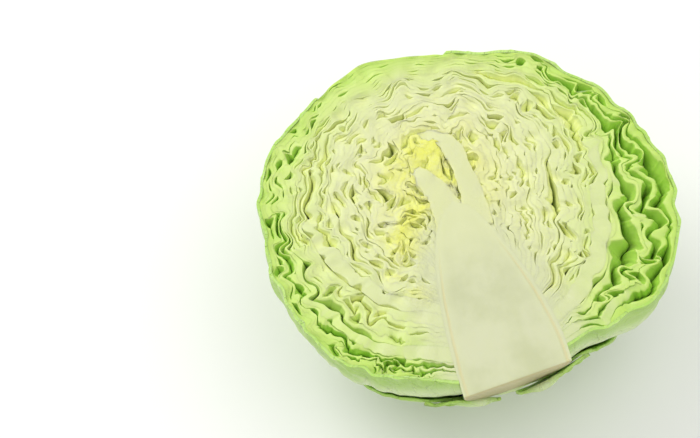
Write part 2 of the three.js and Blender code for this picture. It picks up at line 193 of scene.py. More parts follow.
def crumple_weights(q, turn, z):
    """How strongly each kind of shear works at a place. q counts key rings outwards, with a fraction."""
    fade = (1 - smooth(z, FOLDS_START, FOLDS_END)) * (1 - 0.65 * smooth(q, 5.6, 6.0))
    for centre, first, last in RIBS_KEPT_SMOOTH:
        along = smooth(turn, first - 12, first) * (1 - smooth(turn, last, last + 12))
        fade = fade * (1 - 0.85 * bump(q, centre, 0.36) * along)
    right = bump(turn, -4, 40) * smooth(q, 4.4, 5.1)
    left = bump(turn, 208, 54) * smooth(q, 3.6, 4.6)
    calm = bump(turn, 8, 52) * (1 - smooth(q, 2.6, 3.8))
    top = bump(turn, 88, 36) * smooth(q, 3.2, 4.6)
    heart = 1 - smooth(q, 1.0, 2.6)
    low_left = 1.6 * bump(turn, 236, 28) * bump(q, 5.68, 0.3)
    upper_left = 0.8 * bump(turn, 143, 9) * bump(q, 4.3, 0.5)
    return {
        "everywhere": fade * (1 - 0.6 * top) * (1 - 0.3 * calm),
        "fine": fade * (1 - 0.7 * top) * (1 - 0.7 * calm),
        "right": fade * right,
        "left": fade * left,
        "heart": fade * heart * (1 - 0.5 * calm),
        "frill": fade * np.maximum(0.45 * heart, low_left + upper_left),
    }


weights = crumple_weights(5.0, np.array([0.0]), 0.0)
print("weights five rings out at the right:", {kind: round(float(w[0]), 2) for kind, w in weights.items()})

# %% [markdown]
# ## Room for the core
# The core is a firm cone in the middle, and leaves grow out of it. A few widths along its length describe
# it, and the distance from it tells the leaves where to lie flat, where to be loose and where to turn pale.

# %% Distance from the core
CORE_UP = np.array([0, 14, 32, 52, 67, 80, 87, 91.0])
CORE_LEFT = np.array([24.3, 24, 22.5, 19.5, 16, 10.5, 5, 0.0])
CORE_RIGHT = np.array([26.5, 27, 25, 20.5, 15.5, 10, 5.5, 0.0])
STEM_END = -90.0


def clear_of_core(x, y):
    """Distance sideways from the core, in mm. It is negative inside."""
    up = y - STEM_END
    left = np.interp(up, CORE_UP, CORE_LEFT, right=-9)
    right = np.interp(up, CORE_UP, CORE_RIGHT, right=-9)
    beside = np.maximum(x - right, -x - left)
    return np.where(up > CORE_UP[-1], np.hypot(np.maximum(beside, 0), up - CORE_UP[-1]), beside)


print("width of the core at the stem:", CORE_LEFT[0] + CORE_RIGHT[0])

# %% [markdown]
# ## Crumpling a point
# A knife leaves the cut face almost flat, but wet leaves spring back unevenly, so it gets shallow dimples.
# They only lower a point, by an amount that depends on its place in the face, and so they can't make leaves
# cross either. The outermost face has none, as the wrappers lie on it. Shears and dimples together carry a
# point from the even plan to its place in the part.

# %% Dimples and folds
DIMPLES = draw_shears(77, 7, 22, 7, 1)
DIMPLE_DEPTH = 0.27
SOFT_DEPTH = 8
SLANT_OF_FOLDS = 0.05


def dimples(x, y):
    """How far the cut face sinks at a place, in mm."""
    total = sum(np.sin((x * math.cos(a) + y * math.sin(a)) * wave + phase) for a, wave, _, phase in DIMPLES)
    return DIMPLE_DEPTH * np.clip(0.9 + total, 0, None)


def crumple(x, y, z, turn, q):
    """Folds a point at x, y from the middle and z below the cut face. Gives the point in the part's frame."""
    near_core = smooth(clear_of_core(x, y), 0.5, 10)
    for kind, weight in crumple_weights(q, turn, z).items():
        weight = weight * near_core
        for a, wave, slide, phase in SHEARS[kind]:
            across = x * math.cos(a) + y * math.sin(a)
            step = weight * slide * np.sin(across * wave + phase + SLANT_OF_FOLDS * z)
            x, y = x - step * math.sin(a), y + step * math.cos(a)
    inside_head = np.round(q, 6) < OUTSIDE
    soft = dimples(x, y) * near_core * np.exp(-z / SOFT_DEPTH) * inside_head
    return np.stack([MIDDLE[0] + x, MIDDLE[1] + y, CUT - z - soft], -1)


samples = np.linspace(-70, 70, 60)
print("deepest dimple on a line across the face:", round(float(dimples(samples, 0 * samples).max()), 2))

# %% [markdown]
# ## The outside of the head
# A head is never an even ball. Broad swellings round the back come from a few slow waves, and the rim of
# the cut face follows a short list of bumps and hollows. Left of the stem the head draws in below the rim.
# All this works on the outer leaves only. With it, a leaf's plan (radius, turn and dip below the cut)
# becomes a point of the part.

# %% Swellings, and the place of a leaf's point
BULGES = np.random.default_rng(5).normal(0, 6, (7, 3))
BULGE_HEIGHT = 0.45
RIM_TURNS = np.array([-90, -62, -40, -18, 0, 20, 35, 48, 65, 78, 90, 101, 112, 125, 180, 215, 238, 270.0])
RIM_SHIFTS = np.array([0, -3, 0.5, -1.5, -2.6, -4.8, -2.8, 0, -2.8, -0.8, 2.8, 5.2, 2.6, 1, 0, -1, -3, 0])
DRAWN_IN, DRAWN_IN_TURN = 9, 245


def bulge(turn, down):
    """Broad swellings of the outer leaves, in mm. down is the sine of the dip below the cut face."""
    level = np.sqrt(1 - down**2)
    way = np.stack([level * np.cos(np.radians(turn)), level * np.sin(np.radians(turn)), down], -1)
    swelling = BULGE_HEIGHT * np.sin(way @ BULGES.T + np.arange(len(BULGES))).sum(-1)
    turn_from_it = (turn - DRAWN_IN_TURN + 540) % 360 - 180
    drawn_in = DRAWN_IN * level * down * bump(turn_from_it, 0, 45)
    return swelling + level**4 * curve_through(RIM_TURNS, RIM_SHIFTS, turn) - drawn_in


def place(radius, turn, dip_sine, q, radii):
    """The crumpled point of a leaf in the part's frame, in mm. Inside the first ring its shell shrinks."""
    carrier = np.maximum(radius, radii[0])
    distance = carrier * (1 - dip_sine**2) + depth_at(carrier, radii) * dip_sine**2
    distance = distance + smooth(q, 4.6, 6) * bulge(turn, dip_sine)
    flat = distance * np.sqrt(1 - dip_sine**2) * radius / carrier
    x = flat * np.cos(np.radians(turn)) + distance * LEAN[0] * dip_sine**2
    y = flat * np.sin(np.radians(turn)) + distance * LEAN[1] * dip_sine**2
    return crumple(x, y, distance * dip_sine, turn, q)


print("swelling of the rim at the right:", round(float(bulge(0.0, 0.0)), 2))

# %% [markdown]
# ## Meshes from loops
# A folded leaf is a strip with a closed cross-section, so each leaf is a row of loops joined into a tube
# with two capped ends. A wrapper is a closed sheet with two faces. Modifiers could thicken a sheet too, but
# here each side needs a shape of its own. Numpy lays all the points out at once, which is much quicker than
# adding them one by one. Beside its points a piece carries marks, such as how deep a point lies, that its
# finish reads later.

# %% A builder of pieces


class Skin:
    """Gathers tubes and shells into one mesh, with a number per point for every mark."""

    MARKS = ("deep", "level", "pale", "young", "across", "along")

    def __init__(self):
        self.points, self.sizes, self.corners = [], [], []
        self.marks = {mark: [] for mark in self.MARKS}
        self.count = 0

    def faces(self, corners):
        corners = np.asarray(corners)
        self.corners.append(corners.reshape(-1))
        self.sizes.append(np.full(len(corners), corners.shape[1]))

    def add_points(self, grid, marks):
        self.points.append(grid.reshape(-1, 3))
        for mark in self.MARKS:
            values = np.broadcast_to(marks.get(mark, 0.0), grid.shape[:2])
            self.marks[mark].append(values.reshape(-1))
        self.count += grid.shape[0] * grid.shape[1]

    def tube(self, grid, **marks):
        """grid[loop point, column] are the points of a row of closed loops."""
        around, columns = grid.shape[:2]
        index = self.count + np.arange(around * columns).reshape(around, columns)
        ahead = np.roll(index, -1, 0)
        quads = np.stack([index[:, :-1], ahead[:, :-1], ahead[:, 1:], index[:, 1:]], -1).reshape(-1, 4)
        ends = np.stack([index[::-1, 0], index[:, -1]])
        self.faces(quads)
        self.faces(ends)
        self.add_points(grid, marks)

    def shell(self, outer, inner, **marks):
        """A thin closed sheet. outer[row, column] and inner[row, column] are its two faces."""
        rows, columns = outer.shape[:2]
        top = self.count + np.arange(rows * columns).reshape(rows, columns)
        below = rows * columns
        quads = np.stack([top[:-1, :-1], top[:-1, 1:], top[1:, 1:], top[1:, :-1]], -1).reshape(-1, 4)
        rim = np.concatenate([top[0, :-1], top[:-1, -1], top[-1, :0:-1], top[:0:-1, 0]])
        onward = np.roll(rim, -1)
        edge = np.stack([onward, rim, rim + below, onward + below], 1)
        self.faces(np.concatenate([quads, quads[:, ::-1] + below, edge]))
        self.add_points(outer, marks)
        self.add_points(inner, marks)

    def piece(self, name, material, *nodes, slot):
        """Makes the mesh, puts it in the scene and lets it stand for its solids."""
        mesh = bpy.data.meshes.new(name)
        points = np.concatenate(self.points) * MM
        corners = np.concatenate(self.corners)
        sizes = np.concatenate(self.sizes)
        mesh.vertices.add(len(points))
        mesh.vertices.foreach_set("co", points.astype(np.float32).reshape(-1))
        mesh.loops.add(len(corners))
        mesh.loops.foreach_set("vertex_index", corners.astype(np.int32))
        mesh.polygons.add(len(sizes))
        mesh.polygons.foreach_set("loop_start", (np.cumsum(sizes) - sizes).astype(np.int32))
        mesh.polygons.foreach_set("use_smooth", np.ones(len(sizes), bool))
        for mark, values in self.marks.items():
            layer = mesh.attributes.new(mark, "FLOAT", "POINT")
            layer.data.foreach_set("value", np.concatenate(values).astype(np.float32))
        mesh.update(calc_edges=True)
        mesh.validate()
        mesh.materials.append(material)
        thing = bpy.data.objects.new(name, mesh)
        bpy.context.scene.collection.objects.link(thing)
        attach(thing, "root")
        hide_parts(*nodes)
        return thing


print("marks on every point:", Skin.MARKS)

# %% [markdown]
# ## Shader maths in Python
# A finish mixes many masks, and every sum of two masks is a node. Placing them by hand hides the recipe, so
# a small class wraps a node's output and turns Python's operators into Math nodes: 1 - mask simply works.
# Every other node comes from one function that takes its type, its settings and its inputs.

# %% Sockets and nodes


class Socket:
    """A node's output that can be used in sums: each operator adds a Math node."""

    def __init__(self, tree, output):
        self.tree, self.output = tree, output

    def maths(self, operation, *values):
        return add_node(self.tree, "ShaderNodeMath", {"operation": operation},
                        **{str(i): value for i, value in enumerate(values)})

    def __add__(self, other):
        return self.maths("ADD", self, other)

    def __radd__(self, other):
        return self.maths("ADD", other, self)

    def __sub__(self, other):
        return self.maths("SUBTRACT", self, other)

    def __rsub__(self, other):
        return self.maths("SUBTRACT", other, self)

    def __mul__(self, other):
        return self.maths("MULTIPLY", self, other)

    def __rmul__(self, other):
        return self.maths("MULTIPLY", other, self)

    def __truediv__(self, other):
        return self.maths("DIVIDE", self, other)

    def __rtruediv__(self, other):
        return self.maths("DIVIDE", other, self)

    def size(self):
        return self.maths("ABSOLUTE", self)

    def between(self, low, high):
        """0 below low, 1 above high, smooth in between."""
        settings = {"interpolation_type": "SMOOTHSTEP"}
        return add_node(self.tree, "ShaderNodeMapRange", settings, **{"0": self, "1": low, "2": high})


def fill_ramp(ramp, stops):
    while len(ramp.elements) < len(stops):
        ramp.elements.new(0.5)
    for element, (where, colour) in zip(ramp.elements, stops):
        element.position, element.color = where, (*colour, 1)


def add_node(tree, kind, settings=None, out=0, **inputs):
    """One node: its settings first, then its inputs by number or name, as values or links."""
    node = tree.nodes.new(kind)
    for name, value in (settings or {}).items():
        if name == "stops":
            fill_ramp(node.color_ramp, value)
        else:
            setattr(node, name, value)
    for name, value in inputs.items():
        socket = node.inputs[int(name)] if name.isdigit() else node.inputs[name]
        if isinstance(value, Socket):
            tree.links.new(value.output, socket)
        else:
            socket.default_value = value
    return Socket(tree, node.outputs[out])


print("beside sums a socket offers:", [name for name in vars(Socket) if not name.startswith("_")])

# %% [markdown]
# ## A finish
# A leaf's flesh is wet, soft and lets a little light in, so each finish is a Principled shader: it has a
# gloss, and a touch of subsurface where the piece is flesh. What is the same all over is set on the shader
# itself. What changes from place to place is mixed from marks and noise and feeds a socket.

# %% Materials under construction


class Finish:
    """A Principled material under construction."""

    def __init__(self, name, **constants):
        self.material = bpy.data.materials.new(name)
        self.material.use_nodes = True
        self.tree = self.material.node_tree
        self.shader = self.tree.nodes["Principled BSDF"]
        for socket, value in constants.items():
            self.shader.inputs[socket.replace("_", " ")].default_value = value

    def mark(self, name):
        return add_node(self.tree, "ShaderNodeAttribute", {"attribute_name": name}, out=2)

    def noise(self, scale, detail=3.0, roughness=0.5, stretch=None):
        where = add_node(self.tree, "ShaderNodeTexCoord", out=3)
        if stretch:
            where = add_node(self.tree, "ShaderNodeMapping", **{"0": where, "3": stretch})
        return add_node(self.tree, "ShaderNodeTexNoise", Vector=where, Scale=scale, Detail=detail,
                        Roughness=roughness)

    def blend(self, share, first, second):
        first = first if isinstance(first, Socket) else (*first, 1)
        second = second if isinstance(second, Socket) else (*second, 1)
        settings = {"data_type": "RGBA"}
        return add_node(self.tree, "ShaderNodeMix", settings, out=2, **{"0": share, "6": first, "7": second})

    def ramp(self, share, stops):
        return add_node(self.tree, "ShaderNodeValToRGB", {"stops": stops}, **{"0": share})

    def feed(self, socket, value):
        self.tree.links.new(value.output, self.shader.inputs[socket])

    def bumps(self, *layers):
        """Each layer is a height and its strength in mm, the first one the broadest."""
        normal = None
        for height, distance in layers:
            inputs = {"Height": height, "Distance": distance * MM, "Strength": 1.0}
            if normal:
                inputs["Normal"] = normal
            normal = add_node(self.tree, "ShaderNodeBump", **inputs)
        self.feed("Normal", normal)


def srgb(red, green, blue):
    """A colour as a screen shows it, from 0 to 255, as the light it stands for."""
    return tuple(((c / 255 + 0.055) / 1.055) ** 2.4 if c > 10 else c / 3294.6 for c in (red, green, blue))


print("cream as light:", [round(c, 2) for c in srgb(216, 217, 148)])

# %% [markdown]
# ## The outer face of a leaf
# Seen from outside, a cabbage leaf is green with a pale, waxy bloom, a wide net of veins and a fine net
# between them. Drawn veins would take a mesh of every line, so the nets come from the borders between the
# cells of a Voronoi texture. Its coordinates wander with noise, as a plain Voronoi net looks like a
# honeycomb. The head's outermost leaves and the wrappers share this face.

# %% Veins and bloom
VEIN_CELLS, SMALL_VEIN_CELLS = 16.0, 60.0
WANDER = 0.07


def leaf_back(finish, pale, along, across):
    """Colour, clouds and the two nets of veins of a leaf's outer face, spread out along and across it."""
    wander, stray = finish.noise(70, 3, 0.6), finish.noise(85, 3, 0.6)
    x, y = along + wander * WANDER, across + stray * WANDER
    where = add_node(finish.tree, "ShaderNodeCombineXYZ", X=x, Y=y)
    borders = {"feature": "DISTANCE_TO_EDGE"}
    net = add_node(finish.tree, "ShaderNodeTexVoronoi", borders, Vector=where, Scale=VEIN_CELLS)
    fine_net = add_node(finish.tree, "ShaderNodeTexVoronoi", borders, Vector=where, Scale=SMALL_VEIN_CELLS)
    cloud, bloom = finish.noise(40, 5, 0.6), finish.noise(14, 3, 0.5)
    veins, small_veins = 1 - net.between(0.0, 0.09), 1 - fine_net.between(0.0, 0.12)
    base = finish.blend(cloud, srgb(157, 200, 86), srgb(175, 211, 102))
    base = finish.blend(bloom.between(0.4, 0.7) * 0.5, base, srgb(194, 222, 134))
    base = finish.blend(veins * 0.16 + small_veins * 0.1, base, srgb(205, 226, 160))
    return finish.blend(pale * 0.8, base, srgb(222, 234, 188)), cloud, veins, small_veins


print("cells of the nets:", VEIN_CELLS, SMALL_VEIN_CELLS)

# %% [markdown]
# ## Leaf flesh, cut on edge
# Cut flesh is cream in the middle of the head and green outside, where light has reached it. Between the
# leaves it is painted brighter and yellower, as painted bounce light: light that falls into a crevice bounces
# on from side to side. Deep in the pockets it is painted darker green, as painted shade. The heart is yellow
# in patches, and the feet of the leaves are as pale as the core. One material does it all from the marks, so
# neighbouring leaves match.

# %% The material of the cut leaves
FLESH_STOPS = [
    (0.0, srgb(216, 217, 148)),
    (0.2, srgb(214, 217, 164)),
    (0.5, srgb(211, 217, 162)),
    (0.74, srgb(204, 217, 144)),
    (0.88, srgb(198, 219, 126)),
    (1.0, srgb(180, 211, 98)),
]
FLESH_GLOW = {"Subsurface_Scale": 0.0015, "Subsurface_Radius": (1.0, 1.0, 0.6)}


def flesh_colour(finish, cloud, yellow, crumbs):
    """The colour of cut leaves with painted bounce light and shade, before their outermost face is added."""
    deep, level, pale, across = (finish.mark(mark) for mark in ("deep", "level", "pale", "across"))
    outer = level.between(0.72, 0.9)
    base = finish.ramp(level + (cloud - 0.5) * 0.16, FLESH_STOPS)
    base = finish.blend(yellow * (0.35 + crumbs * 0.8), base, srgb(224, 226, 92))
    base = finish.blend(pale * 0.85, base, srgb(203, 207, 165))
    # This colour is the real green skin at the edges of outer leaves, and also painted bounce light in the
    # crevices.
    skin_and_bounce_light = finish.blend(outer, srgb(238, 243, 163), srgb(166, 212, 76))
    skin_of_edge = across.size().between(0.8, 1.0) * outer * 0.5
    # Painted bounce light: crevices just below the cut are painted brighter, yellower inside the head,
    # greener outside.
    painted_bounce_light = deep.between(0.04, 0.3) * (0.75 - outer * 0.3)
    base = finish.blend((skin_of_edge + painted_bounce_light) * (1 - pale * 0.4), base, skin_and_bounce_light)
    # Painted shade: deep in the pockets the flesh is painted darker green.
    return finish.blend(deep.between(0.22, 1.0) * (0.38 - outer * 0.12), base, srgb(158, 194, 72))


def leaf_finish(name):
    finish = Finish(name, Roughness=0.42, Subsurface_Weight=0.5, Specular_IOR_Level=0.3, **FLESH_GLOW)
    cloud, speck = finish.noise(90, 4, 0.6), finish.noise(900, 2, 0.6)
    patch, crumbs = finish.noise(190, 3, 0.6), finish.noise(520, 3, 0.6)
    yellow = (finish.mark("young") + (patch - 0.5) * 1.3).between(0.3, 1.0)
    base = flesh_colour(finish, cloud, yellow, crumbs)
    base = finish.blend((speck - 0.5) * 0.25 + 0.06, base, srgb(200, 214, 130))
    deep, level, pale, across = (finish.mark(mark) for mark in ("deep", "level", "pale", "across"))
    back, _, veins, _ = leaf_back(finish, pale * 0.5, finish.mark("along") / 90, deep / 14)
    outermost = across.between(0.8, 1.0) * level.between(0.985, 0.998) * deep.between(0.05, 0.5)
    finish.feed("Base Color", finish.blend(outermost, base, back))
    finish.feed("Roughness", 0.36 + cloud * 0.2)
    finish.bumps((cloud, 0.5), (speck, 0.12), (veins * outermost, 0.3), (crumbs * yellow, 0.8))
    return finish.material


leaf_flesh = leaf_finish("leaf_flesh")
print("nodes in", leaf_flesh.name, len(leaf_flesh.node_tree.nodes))

# %% [markdown]
# ## How thick the leaves are, and where they part
# Between two key rings the leaves share the space: each has a thickness and a gap that vary along it, and
# the sum is scaled to fit. Ribs make one leaf thick near the core, and pockets open a gap. The seeded
# ripples give the small changes, and the two lists give the ribs and holes that stand out.

# %% Ribs, pockets and the rows of leaves
# The usual thickness of each leaf. Zone 0 is inside the first key ring, zone 6 ends at the outside.
BLADES = [[1.3, 1.2, 1.6, 1.2, 1.4], [1.6, 2.2, 1.5, 1.9], [2.2, 1.6, 2.0, 1.7],
          [1.7, 2.0, 1.6, 2.4], [2.5, 1.8, 2.0, 2.0], [1.9, 2.2, 1.9, 2.2, 2.0], [2.2, 1.7, 1.9, 1.7, 1.7]]
OUTERMOST_LEAF = (6, 4)
# Zone, leaf, turn, width in degrees, mm.
RIBS = [(0, 3, 120, 40, 1), (1, 2, 60, 40, 2), (2, 1, 245, 25, 5), (3, 1, -70, 25, 5), (4, 1, -68, 25, 6),
        (4, 3, 222, 45, 16), (5, 0, 245, 20, 4), (5, 3, -60, 42, 16), (5, 3, -25, 30, 3), (6, 0, 250, 30, 8),
        (6, 3, -66, 16, 4)]
POCKETS = [(1, 1, 88, 16, 4), (1, 2, 20, 10, 1.5),
           (2, 1, -30, 9, 2), (2, 2, 95, 4, 3), (2, 2, 12, 7, 2),
           (3, 2, 70, 3, 3), (3, 3, -12, 16, 3.5), (3, 3, 190, 9, 3.5),
           (4, 0, -54, 9, 6), (4, 1, 100, 4, 2.5), (4, 2, 178, 5, 5), (4, 2, -52, 7, 4), (4, 2, 143, 8, 3),
           (4, 3, 62, 7, 4), (4, 3, 160, 5, 4),
           (5, 0, 36, 4, 4), (5, 0, 150, 8, 2), (5, 0, 166, 5, 3), (5, 0, 143, 8, 3), (5, 1, 18, 8, 10),
           (5, 1, 220, 6, 3), (5, 1, 50, 8, 8), (5, 2, 28, 5, 5), (5, 2, 170, 8, 3), (5, 4, 205, 14, 3),
           (6, 0, -34, 11, 9), (6, 0, -8, 12, 4), (6, 1, 12, 9, 4), (6, 1, 182, 8, 3), (6, 1, 215, 9, 3),
           (6, 1, 242, 14, 2.5), (6, 2, -20, 10, 4), (6, 2, 30, 8, 3), (6, 2, 5, 8, 4),
           (6, 2, 236, 14, 2.5), (6, 3, -40, 8, 4), (6, 3, -8, 12, 4)]
TURNS = np.arange(-89.0, 269.01, 0.5)
RADII = np.array([ring_radius(k, TURNS) for k in range(len(RINGS))])
ARCS = np.radians(TURNS) * np.maximum(20, RADII.mean(1))[:, None]
print("leaves in each zone:", [len(zone) for zone in BLADES], "ribs:", len(RIBS), "pockets:", len(POCKETS))

# %% [markdown]
# ## Stacking the leaves of a zone
# Drawing every edge would take thousands of points. Instead each zone is filled from its inner ring
# outwards: a leaf, the gap above it, the next leaf, and so on, all scaled so that the last one ends at the
# outer ring. Close to the core the leaves are thick and tight, as they grow together there, and at the top
# they are pressed flat.

# %% Stack the zones


def blade_of(zone, leaf, clear):
    """Thickness of a leaf at every turn, before it is scaled. clear is the distance from the core."""
    seed, arc = 10 * zone + leaf, ARCS[zone]
    blade = BLADES[zone][leaf] * (1 + 0.22 * Ripple(100 + seed, 120, 20)(arc))
    blade = blade + 0.5 * np.clip(Ripple(300 + seed, 9, 4)(arc) - 0.5, 0, None)
    blade = blade + np.exp(-clear / (6 + 2 * zone))
    for _, _, centre, width, thick in (rib for rib in RIBS if rib[:2] == (zone, leaf)):
        blade = blade + thick * np.exp(-((np.abs(TURNS - centre) / width) ** 1.5))
    return blade


def gap_above(zone, leaf, loose):
    """The gap on a leaf's outer side at every turn: long slits, short pockets and the pockets of the list."""
    seed, arc = 10 * zone + leaf, ARCS[zone]
    if (zone, leaf) == OUTERMOST_LEAF:
        return np.zeros(len(arc))
    slits = np.clip(2.4 * Ripple(500 + seed, 50, 16)(arc) - 2.2, 0, None)
    if zone > 4:
        holes = np.clip(3.6 * Ripple(900 + seed, 24, 11, 7)(arc) - 3.2, 0, None)
    else:
        holes = np.clip(6.5 * Ripple(900 + seed, 22, 9, 7)(arc) - 6.9, 0, None)
    calm = 0.8 * bump(TURNS, 2, 52) if zone < 4 else 0
    gap = (slits + holes) * loose * (1 - calm)
    for _, _, centre, width, wide in (pocket for pocket in POCKETS if pocket[:2] == (zone, leaf)):
        gap = gap + wide * bump(TURNS, centre, width)
    return gap


def stack_zone(zone):
    """Inner and outer radius of each leaf in a zone, with the gaps below and above it."""
    low = RADII[zone - 1] if zone else 0.02 * RADII[0]
    high = RADII[zone] + (zone == OUTSIDE)
    halfway = (low + high) / 2
    x, y = halfway * np.cos(np.radians(TURNS)), halfway * np.sin(np.radians(TURNS))
    clear = np.clip(clear_of_core(x, y), 0, None)
    pressed = (0.85 if zone > 4 else 0.5) * smooth(50 - np.abs(TURNS - 88), 0, 25)
    loose = smooth(clear, 1, 8 + 4 * zone) * (1 - pressed)
    blades = [blade_of(zone, leaf, clear) for leaf in range(len(BLADES[zone]))]
    gaps = [gap_above(zone, leaf, loose) for leaf in range(len(BLADES[zone]))]
    scale = (high - low) / (np.sum(blades, 0) + np.sum(gaps, 0))
    leaves, edge, below = [], low, gaps[-1] * scale if zone else 0 * low
    for blade, gap in zip(blades, gaps):
        inner, edge = edge, edge + blade * scale
        leaves.append({"inner": inner, "outer": edge, "below": below, "above": gap * scale})
        edge, below = edge + gap * scale, gap * scale
    return leaves


ZONES = [stack_zone(zone) for zone in range(len(RINGS))]
widest = [round(max(float(leaf["above"].max()) for leaf in zone), 1) for zone in ZONES]
print("widest gap in each zone:", widest)

# %% [markdown]
# ## The two ribs of the heart
# From the tip of the core two pale ribs run on into the youngest leaves, one straight up and bending over
# to the left, one short. They are the one part of the heart with a plain shape, so each follows a few
# points with a half width. The crumpled leaves sink a little beside them, and at its end a rib dives below
# the cut.

# %% Courses of the heart's ribs
# x, y and half width.
HEART_RIBS = np.array([
    [[7.5, -14, 6.5], [9.6, 2, 5.4], [9.2, 15, 4.3], [8.0, 26, 4.6], [4, 34, 3.8], [-5, 39, 3]],
    [[-4.5, -15, 7.5], [-3.6, -4, 7], [-4.6, 5, 6], [-7, 12, 5], [-10.5, 18, 4.2], [-15, 23, 3.2]]])
RIB_STEPS = np.linspace(0, 5, 61)
RIB_DIVES = smooth(RIB_STEPS, 3.2, 5)
HEART_RIB_LINES = [[curve_through(np.arange(6.0), column, RIB_STEPS) for column in rib.T]
                   for rib in HEART_RIBS]
GROOVE_DEPTH = 0.7


def rib_groove(x, y, z):
    """How far young leaves sink beside the ribs of the heart, in mm."""
    clear = np.full(x.shape, 9.0)
    for rib_x, rib_y, rib_half in HEART_RIB_LINES:
        for a, b, half in zip(rib_x, rib_y, rib_half - 5 * RIB_DIVES):
            clear = np.minimum(clear, np.hypot(x - a, y - b) - half)
    return GROOVE_DEPTH * (1 - smooth(clear, -0.8, 1.6)) * np.exp(-z / SOFT_DEPTH)


print("ends of the ribs:", [[float(v) for v in rib[-1][:2]] for rib in HEART_RIBS])

# %% [markdown]
# ## Cutting a leaf's cross-section
# A leaf's loop starts deep inside, comes up its inner side to the cut, crosses the cut edge and goes down
# the outer side. A flat strip would look like paper, so the cut edge is a little crowned and its corners
# are rounded, as a knife leaves wet leaves. A gap closes below the cut, where the leaves touch: narrow
# seams stay shallow and wide pockets run deep.

# %% The loop of a leaf
SIDE_STEPS = np.array([0.08, 0.22, 0.42, 0.68, 1.0])
ROUND_STEPS = np.radians([0, 30, 60, 90])
DEEP_DIPS = np.radians([24, 40, 60])
BACK_DIPS = np.radians([16, 24, 34, 46, 60, 76])
# How deep a gap runs in each zone, as a share of its width.
REACHES = [0.65, 0.65, 0.65, 0.7, 0.8, 1.1, 1.7]
DEEPEST = 13
TIP_TAPER = 4


def side_of_leaf(way, zone, edge, half, room, gap, sunk, shell):
    """One side of a loop from the cut down, in pairs of radius and depth: a round corner, then the gap."""
    corner = np.minimum(np.clip(0.9 * gap, 0.004, 1.1), half * 0.8)
    rounding = [(edge - way * (corner + 0.15 * half), sunk)]
    rounding += [(edge - way * corner * (1 - math.sin(a)), sunk + corner * (1 - math.cos(a)))
                 for a in ROUND_STEPS]
    reach = np.clip(0.3 + REACHES[zone] * 2 * room, 0.3, DEEPEST)
    reach = np.minimum(reach, 0.3 * np.maximum(edge, shell))
    return rounding + [(edge + way * room * (1 - (1 - step) ** 2.2) ** 1.6, sunk + corner + reach * step)
                       for step in SIDE_STEPS]


def loop_of_leaf(zone, number, pick, tip, dips):
    """Radius, sine of the dip and share across (-1 to 1) of a leaf's loop, and its thickness."""
    leaf = ZONES[zone][number]
    inner, outer, below, above = (leaf[key][pick] for key in ("inner", "outer", "below", "above"))
    from_tip = np.radians(np.abs(TURNS[pick] - TURNS[tip])) * outer
    tapered = np.sqrt(np.clip(from_tip / TIP_TAPER, 0.15, 1))
    middle, half = (inner + outer) / 2, (outer - inner) / 2 * tapered
    thinned = (outer - inner) / 2 - half
    stands = 0.3 + 0.3 * Ripple(700 + 10 * zone + number, 60, 12)(ARCS[zone][pick])
    sunk = 0.03 + np.clip(stands, 0.0, None) * smooth(below + above, 0.1, 1.5) + 0.8 * (1 - tapered)
    shell = RADII[0, pick]
    sides = [side_of_leaf(way, zone, middle + way * half, half, thinned + 0.49 * gap, gap, sunk, shell)
             for gap, way in ((below, -1), (above, 1))]
    radius, down = (np.array(rows) for rows in zip(*sides[0][::-1], (middle, sunk), *sides[1]))
    sine = np.minimum(down / np.maximum(radius, shell), 0.9)
    order = np.arange(len(dips))[:, None]
    deep = np.maximum(np.sin(dips)[:, None], np.maximum(sine[0], sine[-1]) + 0.02 + 0.02 * order)
    deep = np.minimum(deep, 0.99)
    low_edge, high_edge = (np.tile(edge, (len(dips), 1)) for edge in (radius[0], radius[-1]))
    radius = np.concatenate([low_edge, radius, high_edge])
    return radius, np.concatenate([deep[::-1], sine, deep]), (radius - middle) / half, 2 * half


print("points across a leaf at the cut:", 2 * (1 + len(ROUND_STEPS) + len(SIDE_STEPS)) + 1)

# %% [markdown]
# ## Laying a leaf
# A loop at every half degree or degree makes the leaf. Each point is then crumpled, and gets its marks: how
# deep it lies, in cm, how far out the leaf grows, how young it is, and how pale. Marks on points are better
# than painted maps here, as they follow the folds exactly and need no unwrapping.

# %% One leaf
# The inner zones are so small that every other column is enough.
STRIDES = [2, 2, 2, 2, 2, 1, 1]
# x, y, reach in mm, strength.
YOUNG_SPOTS = [(-4, 29, 13, 1.0), (3, 12, 6, 1.0), (15, 18, 5, 0.8), (16, -3, 5, 0.6),
               (-26, -12, 13, 0.95), (-15, 0, 9, 0.9), (-24, 18, 12, 0.5), (-27, -40, 7, 0.9),
               (33, -47, 8, 0.6), (-38, -30, 9, 0.4)]


def lay_leaf(skin, zone, number, first, last, tip, shows=False):
    """Adds a leaf, from column first to column last, to a skin. The back of a leaf that shows is finer."""
    pick = np.append(np.arange(first, last, STRIDES[zone]), last)
    turn = TURNS[pick]
    radius, sine, share, thick = loop_of_leaf(zone, number, pick, tip, BACK_DIPS if shows else DEEP_DIPS)
    q = zone - 1 + (number + np.clip((share + 1) / 2, 0, 1)) / len(BLADES[zone])
    grid = place(radius, np.broadcast_to(turn, radius.shape), sine, q, RADII[:, pick])
    x, y = grid[..., 0] - MIDDLE[0], grid[..., 1] - MIDDLE[1]
    if zone < 3:
        grid[..., 2] -= rib_groove(x, y, CUT - grid[..., 2])
    young = sum(strength * bump(np.hypot(x - a, y - b), 0, reach) for a, b, reach, strength in YOUNG_SPOTS)
    foot = 1 - smooth(clear_of_core(x, y), 1, 20)
    rib = 0.6 * smooth(thick, 3.0, 6.0) * (zone > 1)
    skin.tube(grid, deep=(CUT - grid[..., 2]) / 10, level=np.clip(q, 0, None) / OUTSIDE,
              young=np.clip(young, 0, 1), pale=np.clip(foot + rib, 0, 1), across=share, along=turn)


